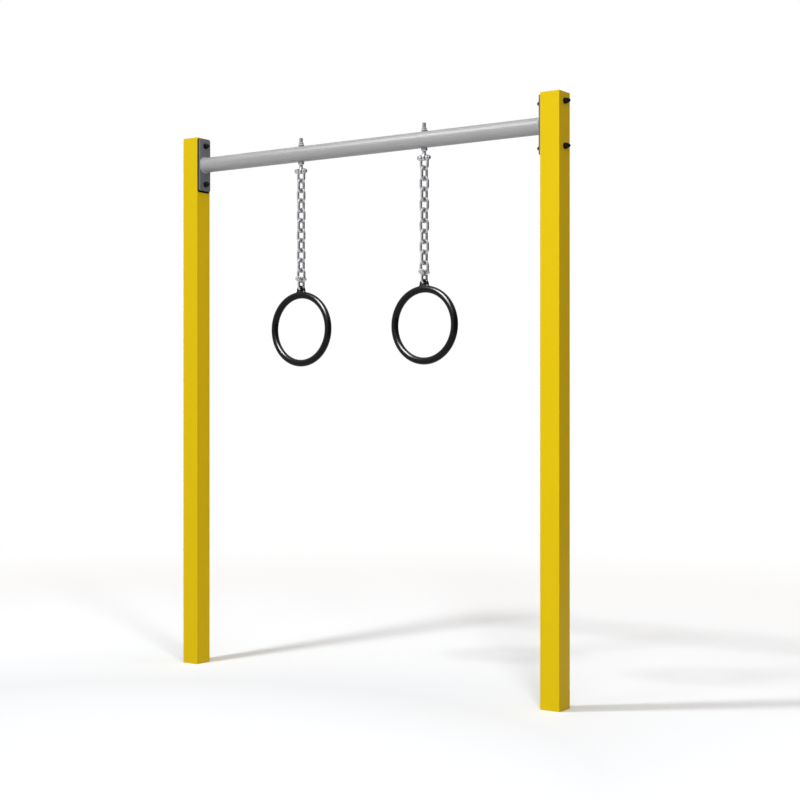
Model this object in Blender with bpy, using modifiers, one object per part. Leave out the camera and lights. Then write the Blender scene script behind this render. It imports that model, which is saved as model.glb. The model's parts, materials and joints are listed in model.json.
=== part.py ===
# Gymnastic rings frame: two square posts, a round crossbar bolted between them, and two rings
# that hang below the crossbar on short chains.
# Lengths are in metres, with +Z up. The origin is on the ground midway between the posts, and
# +X runs along the crossbar to the right-hand post.

import math

import bmesh
import bpy
from mathutils import Matrix

# Posts: square tube, closed at the top by a welded plate
POST_HEIGHT = 2.25
POST_SPACING = 1.76
POST_WIDTH = 0.080
POST_WALL = 0.003
POST_CORNER = 0.0015
POST_INSIDE_CORNER = 0.001
TOP_PLATE_THICKNESS = 0.004
TOP_PLATE_CHAMFER = 0.0008

# Crossbar: round tube with a weld bead at each end
BAR_DIAMETER = 0.0635
BAR_WALL = 0.003
BAR_BELOW_POST_TOP = 0.116
WELD_LEG = 0.004

# End plates, which carry the crossbar on the posts' inner faces
END_PLATE_WIDTH = 0.065
END_PLATE_HEIGHT = 0.220
END_PLATE_THICKNESS = 0.010
END_PLATE_CORNER = 0.006
END_PLATE_CHAMFER = 0.001

# Bolts through the posts and end plates, with a nut on the plate side
BOLT_TO_PLATE_END = 0.028
BOLT_DIAMETER = 0.010
BOLT_ACROSS_FLATS = 0.016
BOLT_HEAD_HEIGHT = 0.0064
BOLT_NUT_HEIGHT = 0.008
BOLT_PAST_NUT = 0.003
BOLT_HOLE_CLEARANCE = 0.0005

# Domed plastic caps over the bolt heads and nuts
DOME_HEIGHT = 0.024
DOME_WALL = 0.0021
DOME_SKIRT = 0.006
DOME_ROOM = 0.0004
DOME_POINTEDNESS = 1.15

# Eyebolts: a threaded stud through the crossbar with a forged eye below
HANGER_SPACING = 0.608
STUD_DIAMETER = 0.016
STUD_ABOVE_BAR = 0.034
STUD_CHAMFER = 0.0012
STUD_HOLE_CLEARANCE = 0.0005
EYE_DIAMETER = 0.024
EYE_WIDTH = 0.012
EYE_EDGE = 0.003
EYE_BELOW_BAR = 0.0378
STUD_NUT_ACROSS_FLATS = 0.022
STUD_NUT_CHAMFER = 0.0018
LOCK_NUT_HEX_HEIGHT = 0.0105
LOCK_NUT_COLLAR_HEIGHT = 0.004
LOWER_NUT_HEIGHT = 0.0134

# D-shackles, the same above and below the chain
SHACKLE_WIRE = 0.011
SHACKLE_JAW = 0.019
SHACKLE_INSIDE_LENGTH = 0.0395
SHACKLE_EAR_DIAMETER = 0.021
SHACKLE_EAR_EDGE = 0.0012
PIN_DIAMETER = 0.010
PIN_HEAD_DIAMETER = 0.016
PIN_HEAD_HEIGHT = 0.007
PIN_HEAD_EDGE = 0.0015
PIN_NUT_ACROSS_FLATS = 0.016
PIN_NUT_HEIGHT = 0.0085
PIN_PAST_NUT = 0.003
PIN_CLEARANCE = 0.0005

# Chain
LINKS_PER_CHAIN = 10
LINK_WIRE = 0.011
LINK_INSIDE_LENGTH = 0.041
LINK_INSIDE_WIDTH = 0.021

# Rings: a round grip with a lug moulded on top
RING_INSIDE_DIAMETER = 0.250
RING_GRIP = 0.028
LUG_WIDTH = 0.038
LUG_THICKNESS = 0.012
LUG_EDGE = 0.0025
LUG_HOLE_CLEARANCE = 0.0013
LUG_HOLE_FLARE = 0.002
LUG_OVER_HOLE = 0.0110
LUG_HOLE_ABOVE_GRIP = 0.0005

# Gap that is left between pieces that touch
SEAT_GAP = 0.0003

# How finely round shapes are cut into flats
CORNER_STEPS = 3
BAR_STEPS = 32
BORE_STEPS = 12
BOLT_STEPS = 12
DOME_STEPS = 12
DOME_RISE_STEPS = 3
STUD_STEPS = 12
EYE_STEPS = 16
EAR_STEPS = 12
WELD_STEPS = 2
WIRE_BEVEL_RESOLUTION = 2
ARC_STEPS = 7
RING_STEPS = 40
GRIP_STEPS = 10
LUG_STEPS = 10
SHARP_ANGLE = math.radians(32)
MERGE_DISTANCE = 0.00001

# Sizes and places that follow from those above
POST_X = POST_SPACING / 2
BAR_RADIUS = BAR_DIAMETER / 2
BAR_Z = POST_HEIGHT - BAR_BELOW_POST_TOP
POST_INNER_FACE = POST_X - POST_WIDTH / 2
POST_OUTER_FACE = POST_X + POST_WIDTH / 2
PLATE_BACK = POST_INNER_FACE - SEAT_GAP
PLATE_FRONT = PLATE_BACK - END_PLATE_THICKNESS
BAR_HALF_LENGTH = PLATE_FRONT - SEAT_GAP
HANGER_X = HANGER_SPACING / 2
UPPER_PIN_Z = BAR_Z - BAR_RADIUS - EYE_BELOW_BAR
SHACKLE_RADIUS = (SHACKLE_JAW + SHACKLE_WIRE) / 2
SHACKLE_OUTSIDE = SHACKLE_JAW / 2 + SHACKLE_WIRE
SHACKLE_BOW_DROP = SHACKLE_INSIDE_LENGTH + SHACKLE_WIRE / 2
SHACKLE_TO_LINK = (SHACKLE_WIRE + LINK_WIRE) / 2 + SEAT_GAP
LINK_TO_LINK = LINK_WIRE + SEAT_GAP
LINK_WIRE_LENGTH = LINK_INSIDE_LENGTH + LINK_WIRE
LINK_RADIUS = (LINK_INSIDE_WIDTH + LINK_WIRE) / 2
LINK_TO_PIN = (LINK_WIRE + PIN_DIAMETER) / 2 + SEAT_GAP
GRIP_RADIUS = RING_GRIP / 2
RING_RADIUS = (RING_INSIDE_DIAMETER + RING_GRIP) / 2
LUG_HOLE_RADIUS = SHACKLE_WIRE / 2 + LUG_HOLE_CLEARANCE

PAINTED_YELLOW = ("painted_yellow", (0.72, 0.50, 0.012), 0.0, 0.42)
PAINTED_GREY = ("painted_grey", (0.36, 0.36, 0.37), 0.0, 0.45)
BLACK_PLASTIC = ("black_plastic", (0.012, 0.012, 0.013), 0.0, 0.35)
BLACK_GLOSS = ("black_gloss_plastic", (0.008, 0.008, 0.009), 0.0, 0.16)
PLATED_STEEL = ("plated_steel", (0.55, 0.56, 0.57), 1.0, 0.30)
STEEL_CHAIN = ("chain_steel", (0.50, 0.51, 0.52), 1.0, 0.33)


# Scene and materials

def clear_scene():
    for obj in list(bpy.data.objects):
        bpy.data.objects.remove(obj, do_unlink=True)


def new_collection(name):
    collection = bpy.data.collections.new(name)
    bpy.context.scene.collection.children.link(collection)
    return collection


def material(finish):
    name, colour, metallic, roughness = finish
    found = bpy.data.materials.get(name)
    if found:
        return found
    made = bpy.data.materials.new(name)
    made.use_nodes = True
    shader = made.node_tree.nodes["Principled BSDF"]
    shader.inputs["Base Color"].default_value = (*colour, 1.0)
    shader.inputs["Metallic"].default_value = metallic
    shader.inputs["Roughness"].default_value = roughness
    made.diffuse_color = (*colour, 1.0)
    return made


clear_scene()
PARTS = new_collection("gymnastic_rings_frame")
CUTTERS = new_collection("cutters")


def place(name, data, collection, location=(0, 0, 0), rotation=(0, 0, 0), parent=None):
    obj = bpy.data.objects.new(name, data)
    obj.location = location
    obj.rotation_euler = rotation
    obj.parent = parent
    collection.objects.link(obj)
    if collection is CUTTERS:
        obj.hide_render = True
        obj.display_type = "WIRE"
    return obj


def add_part(name, mesh, finish, location=(0, 0, 0), rotation=(0, 0, 0), parent=None):
    if not mesh.materials:
        mesh.materials.append(material(finish))
    return place(name, mesh, PARTS, location, rotation, parent)


# Mesh tools

def finished(obj):
    # The object's evaluated mesh, welded and facing out. The object itself is removed.
    bpy.context.view_layer.update()
    graph = bpy.context.evaluated_depsgraph_get()
    mesh = bpy.data.meshes.new_from_object(obj.evaluated_get(graph))
    mesh.name = obj.name
    bpy.data.objects.remove(obj, do_unlink=True)
    shape = bmesh.new()
    shape.from_mesh(mesh)
    bmesh.ops.remove_doubles(shape, verts=shape.verts, dist=MERGE_DISTANCE)
    bmesh.ops.recalc_face_normals(shape, faces=shape.faces)
    shape.to_mesh(mesh)
    shape.free()
    smooth(mesh)
    return mesh


def smooth(mesh):
    mesh.shade_smooth()
    mesh.set_sharp_from_angle(angle=SHARP_ANGLE)


def primitive(name, create, **sizes):
    # A mesh made by one of bmesh's primitives.
    mesh = bpy.data.meshes.new(name)
    shape = bmesh.new()
    create(shape, **sizes)
    shape.to_mesh(mesh)
    shape.free()
    return mesh


def cylinder(name, radius, length, steps, middle=0.0):
    # A solid round bar on the Z axis.
    return primitive(
        name, bmesh.ops.create_cone, cap_ends=True, segments=steps, radius1=radius,
        radius2=radius, depth=length, matrix=Matrix.Translation((0, 0, middle)),
    )


def block(name, *size):
    matrix = Matrix.Diagonal((*size, 1))
    return primitive(name, bmesh.ops.create_cube, size=1.0, matrix=matrix)


def hexagon(name, across_flats, height, bottom=0.0):
    # A hexagonal prism on the Z axis.
    return cylinder(name, across_flats / math.sqrt(3), height, 6, bottom + height / 2)


def turned(name, profile, steps, collection=CUTTERS):
    # A profile of (radius, height) points turned about Z. It closes on itself, unless its two
    # ends lie on the axis.
    count = len(profile)
    edges = [(point, (point + 1) % count) for point in range(count)]
    if profile[0][0] == 0 and profile[-1][0] == 0:
        edges.pop()
    mesh = bpy.data.meshes.new(name)
    mesh.from_pydata([(radius, 0, height) for radius, height in profile], edges, [])
    obj = place(name, mesh, collection)
    screw = obj.modifiers.new("turn", "SCREW")
    screw.axis = "Z"
    screw.angle = 2 * math.pi
    screw.steps = steps
    screw.render_steps = steps
    screw.use_merge_vertices = True
    screw.merge_threshold = MERGE_DISTANCE
    return obj


def combine(obj, other, operation):
    boolean = obj.modifiers.new(operation.lower(), "BOOLEAN")
    boolean.operation = operation
    boolean.solver = "EXACT"
    boolean.object = other


def combined(name, first, second, operation):
    # The mesh that a Boolean makes of two meshes.
    whole = place(name, first, CUTTERS)
    other = place(f"{name}_{operation.lower()}", second, CUTTERS)
    combine(whole, other, operation)
    mesh = finished(whole)
    bpy.data.objects.remove(other, do_unlink=True)
    return mesh


def laid_along_x(mesh):
    # Turns a mesh that stands on Z until its top faces +X.
    mesh.transform(Matrix.Rotation(math.pi / 2, 4, "Y"))
    return mesh


def rounded_rectangle(width, height, radius):
    points = []
    for corner, (side_x, side_y) in enumerate(((1, 1), (-1, 1), (-1, -1), (1, -1))):
        for step in range(CORNER_STEPS + 1):
            angle = math.pi / 2 * (corner + step / CORNER_STEPS)
            x = side_x * (width / 2 - radius) + radius * math.cos(angle)
            y = side_y * (height / 2 - radius) + radius * math.sin(angle)
            points.append((x, y))
    return points


def flat_plate(name, outlines, thickness):
    # A flat outline, with a hole for each further outline, centred on z = 0.
    curve = bpy.data.curves.new(name, "CURVE")
    curve.dimensions = "2D"
    curve.fill_mode = "BOTH"
    curve.extrude = thickness / 2
    for points in outlines:
        spline = curve.splines.new("POLY")
        spline.points.add(len(points) - 1)
        for point, (x, y) in zip(spline.points, points):
            point.co = (x, y, 0, 1)
        spline.use_cyclic_u = True
    return finished(place(name, curve, CUTTERS))


def bent_wire(name, path, diameter, closed):
    # Round wire along a path of (x, z) points in the XZ plane.
    curve = bpy.data.curves.new(name, "CURVE")
    curve.dimensions = "3D"
    curve.bevel_depth = diameter / 2
    curve.bevel_resolution = WIRE_BEVEL_RESOLUTION
    curve.use_fill_caps = not closed
    spline = curve.splines.new("POLY")
    spline.points.add(len(path) - 1)
    for point, (x, z) in zip(spline.points, path):
        point.co = (x, 0, z, 1)
    spline.use_cyclic_u = closed
    return finished(place(name, curve, CUTTERS))


def half_circle(radius, upward):
    # Points of a half circle that ends on the X axis and has a flat at its crown, and how far
    # that flat lies from the centre.
    side = 1 if upward else -1
    points = []
    for step in range(ARC_STEPS + 1):
        angle = math.pi * step / ARC_STEPS
        points.append((side * radius * math.cos(angle), side * radius * math.sin(angle)))
    return points, radius * math.cos(math.pi / ARC_STEPS / 2)


# Posts

def bolt_heights():
    offset = END_PLATE_HEIGHT / 2 - BOLT_TO_PLATE_END
    return {"upper": BAR_Z + offset, "lower": BAR_Z - offset}


def make_bolt_hole_cutters():
    bore = BOLT_DIAMETER / 2 + BOLT_HOLE_CLEARANCE
    reach = POST_OUTER_FACE * 2 + END_PLATE_THICKNESS
    cutters = []
    for level, height in bolt_heights().items():
        mesh = cylinder(f"bolt_hole_{level}", bore, reach, BORE_STEPS)
        location = (0, 0, height)
        rotation = (0, math.pi / 2, 0)
        cutters.append(place(f"bolt_hole_{level}", mesh, CUTTERS, location, rotation))
    return cutters


def make_posts(bolt_holes):
    length = POST_HEIGHT - TOP_PLATE_THICKNESS - SEAT_GAP
    inside = POST_WIDTH - 2 * POST_WALL
    outlines = [
        rounded_rectangle(POST_WIDTH, POST_WIDTH, POST_CORNER),
        rounded_rectangle(inside, inside, POST_INSIDE_CORNER),
    ]
    tube = flat_plate("post", outlines, length)
    for side, x in (("left", -POST_X), ("right", POST_X)):
        post = add_part(f"{side}_post", tube, PAINTED_YELLOW, (x, 0, length / 2))
        for hole in bolt_holes:
            combine(post, hole, "DIFFERENCE")


def make_top_plates():
    outline = rounded_rectangle(POST_WIDTH, POST_WIDTH, POST_CORNER)
    mesh = flat_plate("post_top_plate", [outline], TOP_PLATE_THICKNESS)
    chamfer_upper_rim(mesh, TOP_PLATE_CHAMFER)
    height = POST_HEIGHT - TOP_PLATE_THICKNESS / 2
    for side, x in (("left", -POST_X), ("right", POST_X)):
        add_part(f"{side}_post_top_plate", mesh, PAINTED_YELLOW, (x, 0, height))


def chamfer_upper_rim(mesh, width):
    # Bevels the edges between the upper face and the sides.
    shape = bmesh.new()
    shape.from_mesh(mesh)
    top = max(vert.co.z for vert in shape.verts)
    rim = [edge for edge in shape.edges if is_rim(edge, top)]
    bmesh.ops.bevel(shape, geom=rim, offset=width, segments=1, profile=0.5, affect="EDGES")
    shape.to_mesh(mesh)
    shape.free()
    smooth(mesh)


def is_rim(edge, height):
    at_height = all(abs(vert.co.z - height) < MERGE_DISTANCE for vert in edge.verts)
    return at_height and edge.calc_face_angle(0) > SHARP_ANGLE


# Crossbar and end plates

def weld_profile():
    # Hollow fillet of a weld bead, from the end of the bar back to the tube's outside.
    points = []
    for step in range(WELD_STEPS + 1):
        angle = math.pi / 2 * step / WELD_STEPS
        rise = WELD_LEG * (1 - math.sin(angle))
        run = WELD_LEG * (1 - math.cos(angle))
        points.append((BAR_RADIUS + rise, BAR_HALF_LENGTH - run))
    return points


def make_crossbar():
    inner = BAR_RADIUS - BAR_WALL
    outside = weld_profile()
    outside += [(radius, -along) for radius, along in reversed(outside)]
    profile = outside + [(inner, -BAR_HALF_LENGTH), (inner, BAR_HALF_LENGTH)]
    bar = turned("crossbar", profile, BAR_STEPS, PARTS)
    bar.data.materials.append(material(PAINTED_GREY))
    bar.location = (0, 0, BAR_Z)
    bar.rotation_euler = (0, math.pi / 2, 0)
    # The beads stop at the edges of the end plates.
    width = max(END_PLATE_WIDTH, BAR_DIAMETER + SEAT_GAP)
    mesh = block("weld_trim", BAR_HALF_LENGTH * 3, width, BAR_DIAMETER * 2)
    combine(bar, place("weld_trim", mesh, CUTTERS, (0, 0, BAR_Z)), "INTERSECT")
    bore = STUD_DIAMETER / 2 + STUD_HOLE_CLEARANCE
    for side, x in (("left", -HANGER_X), ("right", HANGER_X)):
        mesh = cylinder(f"{side}_stud_hole", bore, BAR_DIAMETER * 2, STUD_STEPS)
        combine(bar, place(f"{side}_stud_hole", mesh, CUTTERS, (x, 0, BAR_Z)), "DIFFERENCE")


def make_end_plates(bolt_holes):
    outline = rounded_rectangle(END_PLATE_HEIGHT, END_PLATE_WIDTH, END_PLATE_CORNER)
    mesh = flat_plate("end_plate", [outline], END_PLATE_THICKNESS)
    chamfer_upper_rim(mesh, END_PLATE_CHAMFER)
    middle = PLATE_BACK - END_PLATE_THICKNESS / 2
    for side, sign in (("left", -1), ("right", 1)):
        rotation = (0, -sign * math.pi / 2, 0)
        location = (sign * middle, 0, BAR_Z)
        plate = add_part(f"{side}_end_plate", mesh, PAINTED_GREY, location, rotation)
        for hole in bolt_holes:
            combine(plate, hole, "DIFFERENCE")


# Bolts, nuts and domed caps

def bolt_mesh():
    # The head sits on z = 0 and the shank reaches down through the post, the plate and the nut.
    grip = POST_WIDTH + END_PLATE_THICKNESS + 2 * SEAT_GAP
    end = -(grip + BOLT_NUT_HEIGHT + BOLT_PAST_NUT)
    inside_head = SEAT_GAP + BOLT_HEAD_HEIGHT / 2
    length = inside_head - end
    middle = (inside_head + end) / 2
    shank = cylinder("bolt_shank", BOLT_DIAMETER / 2, length, BOLT_STEPS, middle)
    head = hexagon("bolt_head", BOLT_ACROSS_FLATS, BOLT_HEAD_HEIGHT, SEAT_GAP)
    return combined("plate_bolt", head, shank, "UNION")


def nut_mesh(name, body, height, bolt_diameter, steps):
    # A nut's body with its bore. The body stands on z = 0.
    bore = cylinder(f"{name}_bore", bolt_diameter / 2 + SEAT_GAP, height * 3, steps)
    return combined(name, body, bore, "DIFFERENCE")


def dome_mesh():
    # Hollow cap over a hexagon, open at z = 0. Its nose is an ellipse, drawn in a little to a
    # point where the pointedness is over 1.
    room = BOLT_ACROSS_FLATS / math.sqrt(3) + DOME_ROOM
    outer = room + DOME_WALL
    depth = BOLT_NUT_HEIGHT + BOLT_PAST_NUT + SEAT_GAP + DOME_ROOM
    crown = DOME_HEIGHT - DOME_SKIRT
    profile = [(0, DOME_HEIGHT)]
    for step in range(1, DOME_RISE_STEPS):
        angle = math.pi / 2 * (1 - step / DOME_RISE_STEPS)
        radius = outer * math.cos(angle) ** DOME_POINTEDNESS
        profile.append((radius, DOME_SKIRT + crown * math.sin(angle) ** DOME_POINTEDNESS))
    profile += [(outer, DOME_SKIRT), (outer, 0), (room, 0), (room, BOLT_NUT_HEIGHT)]
    profile += [(BOLT_DIAMETER / 2 + DOME_ROOM, depth), (0, depth)]
    return finished(turned("bolt_dome", profile, DOME_STEPS))


def make_fasteners():
    bolt = bolt_mesh()
    body = hexagon("plate_nut_body", BOLT_ACROSS_FLATS, BOLT_NUT_HEIGHT)
    nut = nut_mesh("plate_nut", body, BOLT_NUT_HEIGHT, BOLT_DIAMETER, BOLT_STEPS)
    dome = dome_mesh()
    for side, sign in (("left", -1), ("right", 1)):
        outward = (0, sign * math.pi / 2, 0)
        inward = (0, -sign * math.pi / 2, 0)
        for level, height in bolt_heights().items():
            outside = (sign * POST_OUTER_FACE, 0, height)
            outside_seat = (sign * (POST_OUTER_FACE + SEAT_GAP), 0, height)
            inside_seat = (sign * (PLATE_FRONT - SEAT_GAP), 0, height)
            add_part(f"{side}_{level}_plate_bolt", bolt, PLATED_STEEL, outside, outward)
            add_part(f"{side}_{level}_plate_nut", nut, PLATED_STEEL, inside_seat, inward)
            add_part(f"{side}_{level}_outer_dome", dome, BLACK_PLASTIC, outside_seat, outward)
            add_part(f"{side}_{level}_inner_dome", dome, BLACK_PLASTIC, inside_seat, inward)


# Eyebolts and their nuts

def eyebolt_mesh():
    # The origin is the middle of the eye, whose hole runs along X.
    half = EYE_WIDTH / 2
    outer = EYE_DIAMETER / 2
    hole = PIN_DIAMETER / 2 + PIN_CLEARANCE
    section = [
        (outer - EYE_EDGE, half),
        (outer, half - EYE_EDGE),
        (outer, EYE_EDGE - half),
        (outer - EYE_EDGE, -half),
        (hole + EYE_EDGE / 2, -half),
        (hole, EYE_EDGE / 2 - half),
        (hole, half - EYE_EDGE / 2),
        (hole + EYE_EDGE / 2, half),
    ]
    eye = laid_along_x(finished(turned("eye", section, EYE_STEPS)))
    radius = STUD_DIAMETER / 2
    foot = (hole + outer) / 2
    top = EYE_BELOW_BAR + BAR_DIAMETER + STUD_ABOVE_BAR
    profile = [
        (0, top),
        (radius - STUD_CHAMFER, top),
        (radius, top - STUD_CHAMFER),
        (radius, outer + EYE_EDGE / 2),
        (half - EYE_EDGE / 2, foot),
        (0, foot),
    ]
    stud = finished(turned("stud", profile, STUD_STEPS))
    return combined("eyebolt", eye, stud, "UNION")


def chamfered_hexagon(name, across_flats, height, chamfer):
    # A hexagon whose corners are turned down at both ends, at 30 degrees.
    face = across_flats / 2 - chamfer / 2
    corner = across_flats / math.sqrt(3) + SEAT_GAP
    drop = (corner - face) * math.tan(math.radians(30))
    profile = [
        (0, height),
        (face, height),
        (corner, height - drop),
        (corner, drop),
        (face, 0),
        (0, 0),
    ]
    blank = finished(turned(f"{name}_blank", profile, STUD_STEPS))
    return combined(name, hexagon(name, across_flats, height), blank, "INTERSECT")


def lock_nut_mesh():
    # A hexagon with a domed collar, which grips the stud's thread.
    collar_radius = STUD_NUT_ACROSS_FLATS / 2 - STUD_NUT_CHAMFER / 2
    top = LOCK_NUT_HEX_HEIGHT + LOCK_NUT_COLLAR_HEIGHT
    inset = LOCK_NUT_COLLAR_HEIGHT / 2
    profile = [
        (0, top),
        (collar_radius - inset, top),
        (collar_radius, top - inset),
        (collar_radius, LOCK_NUT_HEX_HEIGHT - inset),
        (0, LOCK_NUT_HEX_HEIGHT - inset),
    ]
    collar = finished(turned("lock_nut_collar", profile, STUD_STEPS))
    body = chamfered_hexagon(
        "lock_nut_hexagon", STUD_NUT_ACROSS_FLATS, LOCK_NUT_HEX_HEIGHT, STUD_NUT_CHAMFER
    )
    body = combined("lock_nut_body", body, collar, "UNION")
    return nut_mesh("lock_nut", body, top, STUD_DIAMETER, STUD_STEPS)


def lower_nut_mesh():
    body = chamfered_hexagon(
        "lower_nut_body", STUD_NUT_ACROSS_FLATS, LOWER_NUT_HEIGHT, STUD_NUT_CHAMFER
    )
    return nut_mesh("lower_nut", body, LOWER_NUT_HEIGHT, STUD_DIAMETER, STUD_STEPS)


def make_eyebolts():
    eyebolt = eyebolt_mesh()
    lock_nut = lock_nut_mesh()
    lower_nut = lower_nut_mesh()
    top = BAR_Z + BAR_RADIUS + SEAT_GAP
    under = BAR_Z - BAR_RADIUS - SEAT_GAP - LOWER_NUT_HEIGHT
    for side, x in (("left", -HANGER_X), ("right", HANGER_X)):
        add_part(f"{side}_eyebolt", eyebolt, PLATED_STEEL, (x, 0, UPPER_PIN_Z))
        add_part(f"{side}_eyebolt_lock_nut", lock_nut, PLATED_STEEL, (x, 0, top))
        add_part(f"{side}_eyebolt_lower_nut", lower_nut, PLATED_STEEL, (x, 0, under))


# Shackles and chain. A shackle lies in the XZ plane with its pin on the X axis.

def shackle_mesh():
    arc, crown = half_circle(SHACKLE_RADIUS, upward=False)
    centre = crown - SHACKLE_BOW_DROP
    path = [(-SHACKLE_RADIUS, 0)]
    path += [(x, z + centre) for x, z in arc]
    path.append((SHACKLE_RADIUS, 0))
    bow = bent_wire("shackle_bow", path, SHACKLE_WIRE, closed=False)
    for sign in (-1, 1):
        ear = ear_mesh()
        ear.transform(Matrix.Translation((sign * SHACKLE_RADIUS, 0, 0)))
        bow = combined("shackle", ear, bow, "UNION")
    bore = PIN_DIAMETER / 2 + SEAT_GAP
    hole = laid_along_x(cylinder("shackle_hole", bore, SHACKLE_OUTSIDE * 3, BOLT_STEPS))
    return combined("shackle", bow, hole, "DIFFERENCE")


def ear_mesh():
    radius = SHACKLE_EAR_DIAMETER / 2
    half = SHACKLE_WIRE / 2
    profile = [
        (0, half),
        (radius - SHACKLE_EAR_EDGE, half),
        (radius, half - SHACKLE_EAR_EDGE),
        (radius, SHACKLE_EAR_EDGE - half),
        (radius - SHACKLE_EAR_EDGE, -half),
        (0, -half),
    ]
    return laid_along_x(finished(turned("shackle_ear", profile, EAR_STEPS)))


def pin_mesh():
    # Round head towards +X and a nut towards -X, both clear of the shackle's ears.
    radius = PIN_DIAMETER / 2
    head = PIN_HEAD_DIAMETER / 2
    seat = SHACKLE_OUTSIDE + SEAT_GAP
    end = -(seat + PIN_NUT_HEIGHT + PIN_PAST_NUT)
    profile = [
        (0, seat + PIN_HEAD_HEIGHT),
        (head - PIN_HEAD_EDGE, seat + PIN_HEAD_HEIGHT),
        (head, seat + PIN_HEAD_HEIGHT - PIN_HEAD_EDGE),
        (head, seat),
        (radius, seat),
        (radius, end),
        (0, end),
    ]
    shaft = finished(turned("pin_shaft", profile, BOLT_STEPS))
    nut = hexagon("pin_nut", PIN_NUT_ACROSS_FLATS, PIN_NUT_HEIGHT, -seat - PIN_NUT_HEIGHT)
    return laid_along_x(combined("shackle_pin", shaft, nut, "UNION"))


def link_mesh():
    # The origin is the middle of the wire that the link hangs on, just under its own crown.
    upper, crown = half_circle(LINK_RADIUS, upward=True)
    lower, _ = half_circle(LINK_RADIUS, upward=False)
    top = LINK_TO_LINK - crown
    bottom = LINK_TO_LINK - LINK_WIRE_LENGTH + crown
    path = [(x, z + top) for x, z in upper]
    path += [(x, z + bottom) for x, z in lower]
    return bent_wire("chain_link", path, LINK_WIRE, closed=True)


# Rings

def ring_mesh():
    # The origin is the middle of the shackle wire that the lug hangs on. The ring faces Y.
    hole_z = lug_hole_height()
    centre = hole_z - LUG_HOLE_RADIUS - LUG_HOLE_ABOVE_GRIP - GRIP_RADIUS - RING_RADIUS
    grip_section = []
    for step in range(GRIP_STEPS):
        angle = -2 * math.pi * step / GRIP_STEPS
        grip_section.append(
            (RING_RADIUS + GRIP_RADIUS * math.cos(angle), GRIP_RADIUS * math.sin(angle))
        )
    grip = finished(turned("grip", grip_section, RING_STEPS))
    grip.transform(Matrix.Rotation(math.pi / 2, 4, "X"))
    grip.transform(Matrix.Translation((0, 0, centre)))
    foot = centre + math.sqrt(RING_RADIUS**2 - (LUG_WIDTH / 2) ** 2)
    return combined("ring", grip, lug_mesh(hole_z, foot), "UNION")


def lug_hole_height():
    # The shackle's bow curves up on either side, and the lug's hole rides that much higher.
    flat = LUG_THICKNESS / 2 - LUG_HOLE_FLARE
    rise = SHACKLE_RADIUS - math.sqrt(SHACKLE_RADIUS**2 - flat**2)
    reach = LUG_HOLE_RADIUS * math.cos(math.pi / BORE_STEPS)
    return SHACKLE_WIRE / 2 + SEAT_GAP + rise - reach


def lug_mesh(hole_z, foot):
    # A tab with a round top, standing in the grip, with rounded edges and a flared hole.
    half = LUG_WIDTH / 2
    top = hole_z + LUG_HOLE_RADIUS + LUG_OVER_HOLE
    outline = [(half, foot)]
    for step in range(LUG_STEPS + 1):
        angle = math.pi * step / LUG_STEPS
        outline.append((half * math.cos(angle), top - half + half * math.sin(angle)))
    outline.append((-half, foot))
    lug = flat_plate("lug", [outline], LUG_THICKNESS)
    lug.transform(Matrix.Rotation(math.pi / 2, 4, "X"))
    body = place("lug", lug, CUTTERS)
    rounding = body.modifiers.new("edges", "BEVEL")
    rounding.width = LUG_EDGE
    rounding.segments = 2
    rounding.limit_method = "ANGLE"
    rounding.angle_limit = math.radians(60)
    # The flare opens at 45 degrees, from its depth inside the lug's face to as far outside.
    flat = LUG_THICKNESS / 2 - LUG_HOLE_FLARE
    beyond = LUG_THICKNESS / 2 + LUG_HOLE_FLARE
    mouth = LUG_HOLE_RADIUS + beyond - flat
    profile = [
        (0, beyond),
        (mouth, beyond),
        (LUG_HOLE_RADIUS, flat),
        (LUG_HOLE_RADIUS, -flat),
        (mouth, -beyond),
        (0, -beyond),
    ]
    hole = finished(turned("lug_hole", profile, BORE_STEPS))
    hole.transform(Matrix.Rotation(math.pi / 2, 4, "X"))
    hole.transform(Matrix.Translation((0, 0, hole_z)))
    return combined("lug", finished(body), hole, "DIFFERENCE")


# One hanging chain: each piece is the child of the one that it hangs on, and its origin is on
# the axis that it swings about.

def hang_chains():
    shackle = shackle_mesh()
    pin = pin_mesh()
    link = link_mesh()
    ring = ring_mesh()
    quarter = math.pi / 2
    for side, x in (("left", -HANGER_X), ("right", HANGER_X)):
        hanger = place(f"{side}_hanger", None, PARTS, (x, 0, UPPER_PIN_Z))
        above = add_part(f"{side}_upper_shackle", shackle, PLATED_STEEL, parent=hanger)
        add_part(f"{side}_upper_shackle_pin", pin, PLATED_STEEL, parent=above)
        drop = (0, 0, SHACKLE_TO_LINK - LINK_TO_LINK - SHACKLE_BOW_DROP)
        for number in range(1, LINKS_PER_CHAIN + 1):
            turn = (0, 0, quarter if number % 2 else -quarter)
            name = f"{side}_link_{number:02d}"
            above = add_part(name, link, STEEL_CHAIN, drop, turn, above)
            drop = (0, 0, LINK_TO_LINK - LINK_WIRE_LENGTH)
        drop = (0, 0, drop[2] + LINK_TO_PIN)
        turn = (0, 0, quarter)
        name = f"{side}_lower_shackle"
        above = add_part(name, shackle, PLATED_STEEL, drop, turn, above)
        add_part(f"{side}_lower_shackle_pin", pin, PLATED_STEEL, parent=above)
        turn = (0, 0, -quarter)
        add_part(f"{side}_ring", ring, BLACK_GLOSS, (0, 0, -SHACKLE_BOW_DROP), turn, above)


def build():
    bolt_holes = make_bolt_hole_cutters()
    make_posts(bolt_holes)
    make_top_plates()
    make_crossbar()
    make_end_plates(bolt_holes)
    make_fasteners()
    make_eyebolts()
    hang_chains()


build()
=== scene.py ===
import json
import math

import bmesh
import bpy
import numpy as np
from mathutils import Matrix, Vector


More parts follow.
